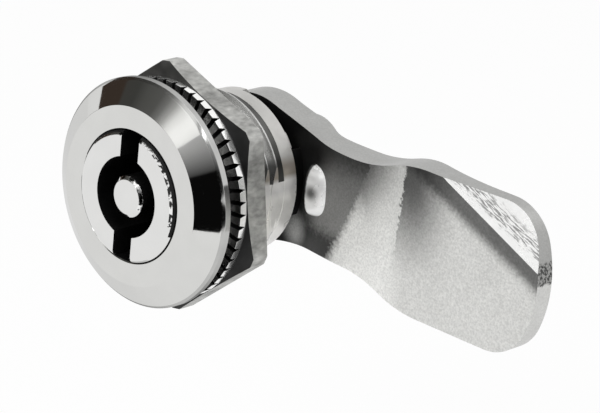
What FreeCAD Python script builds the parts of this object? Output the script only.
import FreeCAD, Part
import math
import os
from FreeCAD import Vector

# Double bit cabinet lock: a quarter-turn cam lock for a door or a panel.
# The lock's axis is Y. The head faces -Y, the back of its rim seats on the panel
# at y = 0, the key's slot stands along Z and the cam points along +X at rest.
# All sizes are in millimetres.

# Threaded barrel with two flats, and the plain collar behind the thread
barrel_radius = 11.0
barrel_wall = 3.0
thread_length = 13.1
thread_pitch = 1.5
thread_depth = 0.9
thread_crest_drop = 0.02
thread_start = 0.9
thread_sides = 32
neck_length = 0.4
flat_depth = 0.8
barrel_end = 15.2
collar_drop = 0.85

# Head, the part that shows in front of the panel
head_overlap = 3.0
head_height = 3.0
rim_height = 1.1
face_inset = 0.05
rim_inset = 0.3

# Stop lugs on the collar's back rim, with angles from +X towards +Z
lug_height = 1.8
stop_lug_wall = 1.2
lug_chamfer = 0.9
stop_lug_drop = 0.75
stop_lug_width = 12.0
top_lug_start = 92.0
top_lug_width = 28.0

# Rotor that the key turns
running_clearance = 0.06
drum_proud = 0.47
drum_edge_chamfer = 0.4
bore_step = 9.0
end_play = 0.05
square_width = 8.0
square_clearance = 0.06
square_short = 0.4

# Key socket in the rotor: a ring round the centre pin and a slot for the two bits
socket_radius = 4.93
socket_depth = 8.5
bit_slot_width = 3.0
pin_radius = 2.55
pin_proud = 0.4
pin_edge_chamfer = 0.3
pin_stem_radius = 1.9
pin_stem_length = 2.5

# Seal ring in its groove on the rotor
seal_groove_width = 1.8
seal_groove_depth = 1.3
seal_cord = 1.3
seal_cord_sides = 6
seal_from_step = 1.9

# Washer and disc spring between the collar and the cam
washer_gap = 0.05
shaft_washer_clearance = 0.08
washer_lug_clearance = 0.35
washer_width = 2.27
thrust_washer_thickness = 0.9
spring_sheet = 0.7

# Cam: hub, waist, tip, and the crank that brings the tip forward
cam_seat = 17.9
hub_thickness = 4.0
hub_radius = 9.2
hub_fillet = 45.0
hub_flat_reach = 4.2
cam_spot_clearance = 0.25
waist_half_width = 6.85
waist_reach = 18.0
tip_side_reach = 30.5
tip_half_width = 9.15
tip_reach = 47.8
tip_end_radius = 15.4
tip_corner_radius = 6.0
tip_start = 31.0
tip_offset = 2.8
tip_thickness = 2.6
neck_reach = 19.0
neck_offset = 2.25
neck_thickness = 4.65
crease_reach = 26.5
crease_offset = 2.65
back_step_start = 7.5
back_step_end = 13.0
back_slope_reach = 20.0
back_level_reach = 39.0

# Ground lead-in facet on the tip's upper corner
facet_start_reach = 32.4
facet_end_half_width = 1.5
facet_angle = 10.0

# Stop boss cast on the cam, with the tongue that runs between the lugs
boss_lean = 4.0
boss_inner_reach = 11.3
boss_width = 3.2
boss_half_height = 3.2
boss_front_gap = 0.2
boss_inner_round = 1.0
boss_front_chamfer = 0.35
tongue_inner_clearance = 0.1
tongue_outer_clearance = 0.2
tongue_half_angle = 27.5
stop_gap_angle = 1.5

# Cam screw (cap screw with a socket) and its split lock washer
screw_radius = 3.0
screw_length = 14.0
screw_head_radius = 5.0
screw_head_height = 6.0
screw_head_chamfer = 0.4
screw_socket_width = 5.0
screw_socket_depth = 3.0
screw_tip_chamfer = 0.5
screw_hole_clearance = 0.05
screw_tip_gap = 1.0
lock_washer_clearance = 0.1
lock_washer_outer_radius = 5.9
lock_washer_thickness = 1.6
lock_washer_split = 0.6
lock_washer_slant = 20.0

# Toothed nut
nut_wall = 2.5
nut_turn = 9.8
nut_corner_round = 1.0
nut_hex_thickness = 3.05
nut_ring_inset = 0.15
nut_ring_height = 1.1
nut_gap = 2.2
nut_chamfer_slope = 0.4
nut_clearance = 0.06
nut_counterbore = 0.75
nut_bore_chamfer = 0.75
tooth_count = 56
tooth_depth = 0.95
tooth_groove_width = 0.7

# Travel
quarter_turn = 90.0

# How far a cutting shape reaches past the piece it cuts
over_cut = 1.0

# How close to a plane an edge counts as lying on it
on_plane = 1e-6

AXIS = Vector(0, 1, 0)
ORIGIN = Vector(0, 0, 0)

# Sizes that follow from the ones above
head_radius = barrel_radius + head_overlap
face_radius = barrel_radius - face_inset
collar_radius = barrel_radius - collar_drop
stop_lug_radius = collar_radius - stop_lug_drop
lug_inner_radius = stop_lug_radius - stop_lug_wall
tongue_inner_radius = lug_inner_radius + tongue_inner_clearance
tongue_outer_radius = stop_lug_radius - tongue_outer_clearance
washer_radius = lug_inner_radius - washer_lug_clearance
shaft_radius = washer_radius - washer_width - shaft_washer_clearance
drum_radius = barrel_radius - barrel_wall
cam_spot_radius = washer_radius + cam_spot_clearance
nut_width = 2 * (barrel_radius + nut_wall)
nut_ring_radius = nut_width / 2 - nut_ring_inset
nut_ring_inner_radius = barrel_radius + nut_clearance + nut_counterbore

# Places along the axis that several pieces share
head_front = -head_height
drum_front = head_front - drum_proud
socket_floor = drum_front + socket_depth
pin_front = head_front - pin_proud
shoulder = bore_step - end_play
cam_back = cam_seat + hub_thickness
square_end = cam_back - square_short
screw_seat = cam_back + lock_washer_thickness
screw_tip = screw_seat - screw_length
lug_end = barrel_end + lug_height
boss_front = barrel_end + boss_front_gap

# The cam's tongue rests by one lug, and meets the other after the quarter turn
near_lug_start = boss_lean + tongue_half_angle + stop_gap_angle
far_lug_end = boss_lean - tongue_half_angle - quarter_turn - stop_gap_angle
lugs = [
    (stop_lug_radius, near_lug_start, near_lug_start + stop_lug_width),
    (collar_radius, top_lug_start, top_lug_start + top_lug_width),
    (stop_lug_radius, far_lug_end - stop_lug_width, far_lug_end),
]


def disc(radius, y_from, y_to):
    return Part.makeCylinder(radius, y_to - y_from, Vector(0, y_from, 0), AXIS)


def turned(profile):
    """Solid of revolution about the lock's axis from (radius, y) corners."""
    corners = [Vector(radius, y, 0) for radius, y in profile]
    outline = Part.makePolygon(corners + [corners[0]])
    return Part.Face(outline).revolve(ORIGIN, AXIS, 360)


def turn_about_axis(shape, degrees):
    """Turn from +X towards +Z, as seen from the front."""
    result = shape.copy()
    result.rotate(ORIGIN, AXIS, -degrees)
    return result


def ring_sector(profile, start_angle, end_angle):
    """Piece of a ring between two angles, measured from +X towards +Z, from (radius, y) corners."""
    corners = [Vector(radius, y, 0) for radius, y in profile]
    section = Part.Face(Part.makePolygon(corners + [corners[0]]))
    sector = section.revolve(ORIGIN, AXIS, -(end_angle - start_angle))
    return turn_about_axis(sector, start_angle)


def polygon_prism(radius, angles, y_from, y_to):
    """Prism on corners that stand at the given angles round the axis."""
    corners = []
    for angle in angles:
        along = math.radians(angle)
        corners.append(Vector(radius * math.cos(along), y_from, radius * math.sin(along)))
    face = Part.Face(Part.makePolygon(corners + [corners[0]]))
    return face.extrude(AXIS * (y_to - y_from))


def hexagon(width, y_from, y_to):
    """Hexagonal prism with two flats square to X."""
    corner_radius = width / 2 / math.cos(math.radians(30))
    return polygon_prism(corner_radius, range(30, 390, 60), y_from, y_to)


def export(name, shape):
    clean = shape.removeSplitter()
    if len(clean.Solids) == 1:
        clean = clean.Solids[0]
    clean.exportStep("parts/" + name + ".step")
    print(name, len(clean.Solids), "solid", round(clean.Volume, 1), "mm3", clean.isValid())


def make_head():
    rim_front = -rim_height
    return turned([
        (0, head_front),
        (face_radius, head_front),
        (head_radius - rim_inset, rim_front),
        (head_radius, rim_front + rim_inset),
        (head_radius, 0),
        (0, 0),
    ])


def many_sided_loop(radius, y):
    """Corners of a regular polygon that stands for a circle."""
    corners = []
    for side in range(thread_sides):
        angle = 2 * math.pi * side / thread_sides
        corners.append(Vector(radius * math.cos(angle), y, radius * math.sin(angle)))
    return corners


def flat_face(corners):
    return Part.Face(Part.makePolygon(corners + [corners[0]]))


def make_thread():
    """The thread as rings without a lead, with flat facets that keep the model light."""
    root_radius = barrel_radius - thread_depth
    crest_radius = barrel_radius - thread_crest_drop
    turns = int((thread_length - thread_start) / thread_pitch)
    loops = [many_sided_loop(barrel_radius, 0), many_sided_loop(barrel_radius, neck_length)]
    for turn in range(turns):
        root = thread_start + turn * thread_pitch
        loops.append(many_sided_loop(root_radius, root))
        loops.append(many_sided_loop(crest_radius, root + thread_pitch / 2))
    loops.append(many_sided_loop(root_radius, thread_start + turns * thread_pitch))
    loops.append(many_sided_loop(root_radius, thread_length))
    faces = [flat_face(loops[0]), flat_face(loops[-1])]
    for front, back in zip(loops, loops[1:]):
        for side in range(thread_sides):
            faces.append(flat_face([front[side - 1], front[side], back[side], back[side - 1]]))
    return Part.Solid(Part.Shell(faces))


def cut_flats(body):
    """Two flats that keep the barrel from turning in the panel's hole."""
    width = 2 * barrel_radius
    for side in (-1, 1):
        corner = Vector(barrel_radius - flat_depth, 0, -width / 2)
        block = Part.makeBox(flat_depth + over_cut, thread_length, width, corner)
        if side < 0:
            block = turn_about_axis(block, 180)
        body = body.cut(block)
    return body


def make_housing():
    body = make_head().fuse([cut_flats(make_thread()), disc(collar_radius, thread_length, barrel_end)])
    for radius, start, end in lugs:
        profile = [
            (lug_inner_radius, barrel_end),
            (radius, barrel_end),
            (radius, lug_end - lug_chamfer),
            (radius - lug_chamfer, lug_end),
            (lug_inner_radius, lug_end),
        ]
        body = body.fuse(ring_sector(profile, start, end))
    bore = drum_radius + running_clearance
    hollow = turned([
        (0, head_front - over_cut),
        (bore, head_front - over_cut),
        (bore, bore_step),
        (shaft_radius + running_clearance, bore_step),
        (shaft_radius + running_clearance, barrel_end + over_cut),
        (0, barrel_end + over_cut),
    ])
    return body.cut(hollow)


def square_shank(width, y_from, y_to):
    """Square with its corners turned down to the shaft's radius."""
    corner = Vector(-width / 2, y_from, -width / 2)
    block = Part.makeBox(width, y_to - y_from, width, corner)
    return block.common(disc(shaft_radius + (width - square_width) / 2, y_from, y_to))


def make_rotor_blank():
    groove_back = bore_step - seal_from_step + seal_groove_width / 2
    groove_front = groove_back - seal_groove_width
    groove_radius = drum_radius - seal_groove_depth
    blank = turned([
        (0, drum_front),
        (drum_radius - drum_edge_chamfer, drum_front),
        (drum_radius, drum_front + drum_edge_chamfer),
        (drum_radius, groove_front),
        (groove_radius, groove_front),
        (groove_radius, groove_back),
        (drum_radius, groove_back),
        (drum_radius, shoulder),
        (shaft_radius, shoulder),
        (shaft_radius, cam_seat),
        (0, cam_seat),
    ])
    return blank.fuse(square_shank(square_width, cam_seat, square_end))


def make_rotor():
    rotor = make_rotor_blank()
    rotor = rotor.cut(disc(socket_radius, drum_front, socket_floor))
    length = 2 * (drum_radius + over_cut)
    corner = Vector(-bit_slot_width / 2, drum_front, -length / 2)
    slot = Part.makeBox(bit_slot_width, socket_depth, length, corner)
    rotor = rotor.cut(slot)
    rotor = rotor.cut(disc(pin_stem_radius, socket_floor, socket_floor + pin_stem_length))
    hole_radius = screw_radius + screw_hole_clearance
    return rotor.cut(disc(hole_radius, screw_tip - screw_tip_gap, square_end))


def make_centre_pin():
    """Pin that stands on the socket's floor, with a thinner stem pressed in below."""
    stem_back = socket_floor + pin_stem_length
    return turned([
        (0, pin_front),
        (pin_radius - pin_edge_chamfer, pin_front),
        (pin_radius, pin_front + pin_edge_chamfer),
        (pin_radius, socket_floor),
        (pin_stem_radius, socket_floor),
        (pin_stem_radius, stem_back),
        (0, stem_back),
    ])


def make_seal_ring():
    """Round cord bent to a ring, with flats for the cord's round section."""
    cord_radius = seal_cord / 2
    ring_radius = drum_radius - seal_groove_depth + cord_radius + washer_gap / 2
    ring_y = bore_step - seal_from_step
    section = []
    for index in range(seal_cord_sides):
        angle = 2 * math.pi * (index + 0.5) / seal_cord_sides
        radius = ring_radius + cord_radius * math.cos(angle)
        section.append((radius, ring_y + cord_radius * math.sin(angle)))
    return turned(section)


def make_thrust_washer():
    front = barrel_end + washer_gap
    back = front + thrust_washer_thickness
    hole = disc(shaft_radius + shaft_washer_clearance, front, back)
    return disc(washer_radius, front, back).cut(hole)


def make_disc_spring():
    """Shallow cone washer that presses the cam back and stops it rattling."""
    front = barrel_end + thrust_washer_thickness + 2 * washer_gap
    back = cam_seat - washer_gap
    inner = shaft_radius + shaft_washer_clearance
    return turned([
        (washer_radius, front),
        (washer_radius, front + spring_sheet),
        (inner, back),
        (inner, back - spring_sheet),
    ])


def line(start, end):
    return Part.LineSegment(start, end).toShape()


def double_arc(start, end):
    """Two equal tangent arcs that join two runs along X at different levels."""
    run = end.x - start.x
    aside = end - start - Vector(run, 0, 0)
    rise = aside.Length
    radius = (run ** 2 + rise ** 2) / (4 * rise)
    half_turn = math.asin(run / 2 / radius) / 2
    near = Vector(radius * math.sin(half_turn), 0, 0)
    near += aside * (radius * (1 - math.cos(half_turn)) / rise)
    middle = (start + end) * 0.5
    first = Part.Arc(start, start + near, middle)
    second = Part.Arc(middle, end - near, end)
    return [first.toShape(), second.toShape()]


def cam_side_edges():
    """Upper half of the cam's plan: hub fillet, neck, straight tip, round corner."""
    fillet_z = waist_half_width + hub_fillet
    fillet_x = math.sqrt((hub_radius + hub_fillet) ** 2 - fillet_z ** 2)
    centre = Vector(fillet_x, 0, fillet_z)
    inwards = centre * (-1 / centre.Length)
    downwards = Vector(0, 0, -1)
    hub_point = centre + inwards * hub_fillet
    neck_start = centre + downwards * hub_fillet
    between = (inwards + downwards).normalize()
    waist = Vector(waist_reach, 0, waist_half_width)
    tip_side = Vector(tip_side_reach, 0, tip_half_width)

    end_centre = tip_reach - tip_end_radius
    corner_z = tip_half_width - tip_corner_radius
    apart = tip_end_radius - tip_corner_radius
    corner_x = end_centre + math.sqrt(apart ** 2 - corner_z ** 2)
    corner = Vector(corner_x, 0, corner_z)
    lean = math.atan2(corner_z, corner_x - end_centre)
    half_way = (math.pi / 2 + lean) / 2
    corner_start = corner + Vector(0, 0, tip_corner_radius)
    corner_middle = corner + Vector(math.cos(half_way), 0, math.sin(half_way)) * tip_corner_radius
    corner_end = corner + Vector(math.cos(lean), 0, math.sin(lean)) * tip_corner_radius
    edges = [
        Part.Arc(hub_point, centre + between * hub_fillet, neck_start).toShape(),
        line(neck_start, waist),
        line(tip_side, corner_start),
        Part.Arc(corner_start, corner_middle, corner_end).toShape(),
    ]
    return edges + double_arc(waist, tip_side), hub_point, corner_end


def cam_plan_face():
    upper, hub_point, corner_end = cam_side_edges()
    lower = [edge.mirror(ORIGIN, Vector(0, 0, 1)) for edge in upper]
    hub_low = Vector(hub_point.x, 0, -hub_point.z)
    corner_low = Vector(corner_end.x, 0, -corner_end.z)
    tip = Vector(tip_reach, 0, 0)
    hub_back = Vector(-hub_radius, 0, 0)
    hub_arc = Part.Arc(hub_low, hub_back, hub_point).toShape()
    tip_arc = Part.Arc(corner_end, tip, corner_low).toShape()
    return Part.Face(Part.Wire(Part.__sortEdges__([hub_arc, tip_arc] + upper + lower)))


def cam_section_face():
    """Section along X: level hub, crank forward, crease, thin level tip."""
    neck_y = cam_seat - neck_offset
    crease_y = cam_seat - crease_offset
    tip_y = cam_seat - tip_offset
    arm_back = neck_y + neck_thickness
    tip_back = tip_y + tip_thickness
    before = -hub_radius - over_cut
    beyond = tip_reach + over_cut
    front = [
        line(Vector(before, cam_seat, 0), Vector(hub_flat_reach, cam_seat, 0)),
        line(Vector(neck_reach, neck_y, 0), Vector(crease_reach, crease_y, 0)),
        line(Vector(crease_reach, crease_y, 0), Vector(tip_start, tip_y, 0)),
        line(Vector(tip_start, tip_y, 0), Vector(beyond, tip_y, 0)),
    ]
    front += double_arc(Vector(hub_flat_reach, cam_seat, 0), Vector(neck_reach, neck_y, 0))
    back = [
        line(Vector(beyond, tip_y, 0), Vector(beyond, tip_back, 0)),
        line(Vector(beyond, tip_back, 0), Vector(back_level_reach, tip_back, 0)),
        line(Vector(back_slope_reach, arm_back, 0), Vector(back_step_end, arm_back, 0)),
        line(Vector(back_step_start, cam_back, 0), Vector(before, cam_back, 0)),
        line(Vector(before, cam_back, 0), Vector(before, cam_seat, 0)),
    ]
    back += double_arc(Vector(back_slope_reach, arm_back, 0), Vector(back_level_reach, tip_back, 0))
    back += double_arc(Vector(back_step_start, cam_back, 0), Vector(back_step_end, arm_back, 0))
    return Part.Face(Part.Wire(Part.__sortEdges__(front + back)))


def lead_in_cutter():
    """Wedge whose sloping face is the ground facet on the tip's upper corner."""
    tip_y = cam_seat - tip_offset
    start = Vector(facet_start_reach, tip_y, tip_half_width)
    end = Vector(tip_reach, tip_y, facet_end_half_width)
    along = (end - start).normalize()
    out = Vector(-along.z, 0, along.x)
    size = tip_reach
    first = start - along * size
    last = end + along * size
    drop = AXIS * (size * math.tan(math.radians(facet_angle)))
    section = Part.makePolygon([
        first,
        first + out * size + drop,
        first + out * size - AXIS * size,
        first,
    ])
    return Part.Face(section).extrude(last - first)


def make_stop_boss():
    """Boss on the cam's front: flat towards the barrel, half round outwards."""
    inner = Vector(boss_inner_reach, boss_front, 0)
    outer = inner + Vector(boss_width, 0, 0)
    corner = inner + Vector(boss_inner_round, 0, boss_half_height - boss_inner_round)
    reach = outer.x - boss_inner_round
    centre_x = (reach ** 2 - corner.x ** 2 - corner.z ** 2) / (2 * (reach - corner.x))
    centre = Vector(centre_x, boss_front, 0)
    outwards = (corner - centre).normalize()
    inwards = Vector(-1, 0, 0)
    between = (outwards + inwards).normalize()
    join = centre + outwards * (outer.x - centre_x)
    flat_end = corner + inwards * boss_inner_round
    round_edge = Part.Arc(join, corner + between * boss_inner_round, flat_end).toShape()
    flat_other_end = Vector(flat_end.x, boss_front, -flat_end.z)
    other_join = Vector(join.x, boss_front, -join.z)
    edges = [
        Part.Arc(join, outer, other_join).toShape(),
        round_edge,
        round_edge.mirror(ORIGIN, Vector(0, 0, 1)),
        line(flat_end, flat_other_end),
    ]
    face = Part.Face(Part.Wire(Part.__sortEdges__(edges)))
    boss = face.extrude(AXIS * (cam_seat - boss_front))
    front_edges = []
    for edge in boss.Edges:
        if edge.BoundBox.YMax < boss_front + on_plane:
            front_edges.append(edge)
    boss = boss.makeChamfer(boss_front_chamfer, front_edges)
    return turn_about_axis(boss, boss_lean)


def make_cam():
    plan = cam_plan_face()
    plan.translate(Vector(0, boss_front - over_cut, 0))
    body = plan.extrude(AXIS * (cam_back - boss_front + 2 * over_cut))
    section = cam_section_face()
    half_width = max(hub_radius, tip_half_width) + over_cut
    section.translate(Vector(0, 0, -half_width))
    body = body.common(section.extrude(Vector(0, 0, 2 * half_width)))
    body = body.cut(lead_in_cutter())
    body = body.cut(disc(cam_spot_radius, boss_front - over_cut, cam_seat))
    body = body.fuse(make_stop_boss())
    tongue_profile = [
        (tongue_inner_radius, boss_front),
        (tongue_outer_radius, boss_front),
        (tongue_outer_radius, cam_seat),
        (tongue_inner_radius, cam_seat),
    ]
    tongue = ring_sector(tongue_profile, boss_lean - tongue_half_angle, boss_lean + tongue_half_angle)
    body = body.fuse(tongue)
    hole = square_shank(square_width + 2 * square_clearance, boss_front, cam_back + over_cut)
    return body.cut(hole)


def make_lock_washer():
    inner = screw_radius + lock_washer_clearance
    outer = lock_washer_outer_radius
    washer = disc(outer, cam_back, screw_seat).cut(disc(inner, cam_back, screw_seat))
    depth = 2 * lock_washer_thickness
    corner = Vector(-outer - over_cut, -depth, -lock_washer_split / 2)
    slit = Part.makeBox(outer, 2 * depth, lock_washer_split, corner)
    slit.rotate(ORIGIN, Vector(1, 0, 0), lock_washer_slant)
    slit.translate(Vector(0, cam_back + lock_washer_thickness / 2, 0))
    return washer.cut(slit)


def make_cam_screw():
    head_back = screw_seat + screw_head_height
    screw = turned([
        (0, screw_tip),
        (screw_radius - screw_tip_chamfer, screw_tip),
        (screw_radius, screw_tip + screw_tip_chamfer),
        (screw_radius, screw_seat),
        (screw_head_radius, screw_seat),
        (screw_head_radius, head_back - screw_head_chamfer),
        (screw_head_radius - screw_head_chamfer, head_back),
        (0, head_back),
    ])
    return screw.cut(hexagon(screw_socket_width, head_back - screw_socket_depth, head_back))


def groove_corner_angles(radius):
    """Angles of the points where the grooves' edges cross a circle."""
    half = math.degrees(math.asin(tooth_groove_width / 2 / radius))
    angles = []
    for index in range(tooth_count):
        middle = index * 360 / tooth_count
        angles += [middle - half, middle + half]
    return angles


def tooth_groove():
    """Radial V groove, open towards the head, deepest at its middle."""
    above = nut_ring_height / 2
    half = tooth_groove_width / 2 * (1 + above / tooth_depth)
    start = nut_ring_inner_radius - over_cut
    length = nut_ring_radius + over_cut - start
    section = Part.makePolygon([
        Vector(start, nut_gap - above, -half),
        Vector(start, nut_gap - above, half),
        Vector(start, nut_gap + tooth_depth, 0),
        Vector(start, nut_gap - above, -half),
    ])
    return Part.Face(section).extrude(Vector(length, 0, 0))


def make_toothed_ring(back):
    """Ring of teeth whose ends are flat, as wide as each tooth and each groove."""
    outer = groove_corner_angles(nut_ring_radius)
    inner = groove_corner_angles(nut_ring_inner_radius)
    ring = polygon_prism(nut_ring_radius, outer, nut_gap, back)
    ring = ring.cut(polygon_prism(nut_ring_inner_radius, inner, nut_gap, back))
    groove = tooth_groove()
    pitch = 360 / tooth_count
    return ring.cut([turn_about_axis(groove, index * pitch) for index in range(tooth_count)])


def make_nut():
    hex_front = nut_gap + nut_ring_height
    back = hex_front + nut_hex_thickness
    corner_radius = nut_width / 2 / math.cos(math.radians(30))
    chamfer_start = nut_width / 2 - nut_ring_inset / 2
    chamfer_rise = nut_chamfer_slope * (corner_radius - chamfer_start)
    blank = hexagon(nut_width, hex_front, back)
    upright = [edge for edge in blank.Edges if edge.BoundBox.YLength > nut_hex_thickness / 2]
    blank = blank.makeFillet(nut_corner_round, upright)
    bore = barrel_radius + nut_clearance
    blank = blank.common(turned([
        (bore, hex_front),
        (chamfer_start, hex_front),
        (corner_radius, hex_front + chamfer_rise),
        (corner_radius, back),
        (bore + nut_bore_chamfer, back),
        (bore, back - nut_bore_chamfer),
    ]))
    nut = blank.fuse(make_toothed_ring(hex_front))
    return turn_about_axis(nut, nut_turn)


os.makedirs("parts", exist_ok=True)
export("housing", make_housing())
export("rotor", make_rotor())
export("centre_pin", make_centre_pin())
export("seal_ring", make_seal_ring())
export("thrust_washer", make_thrust_washer())
export("disc_spring", make_disc_spring())
export("cam", make_cam())
export("lock_washer", make_lock_washer())
export("cam_screw", make_cam_screw())
export("toothed_nut", make_nut())
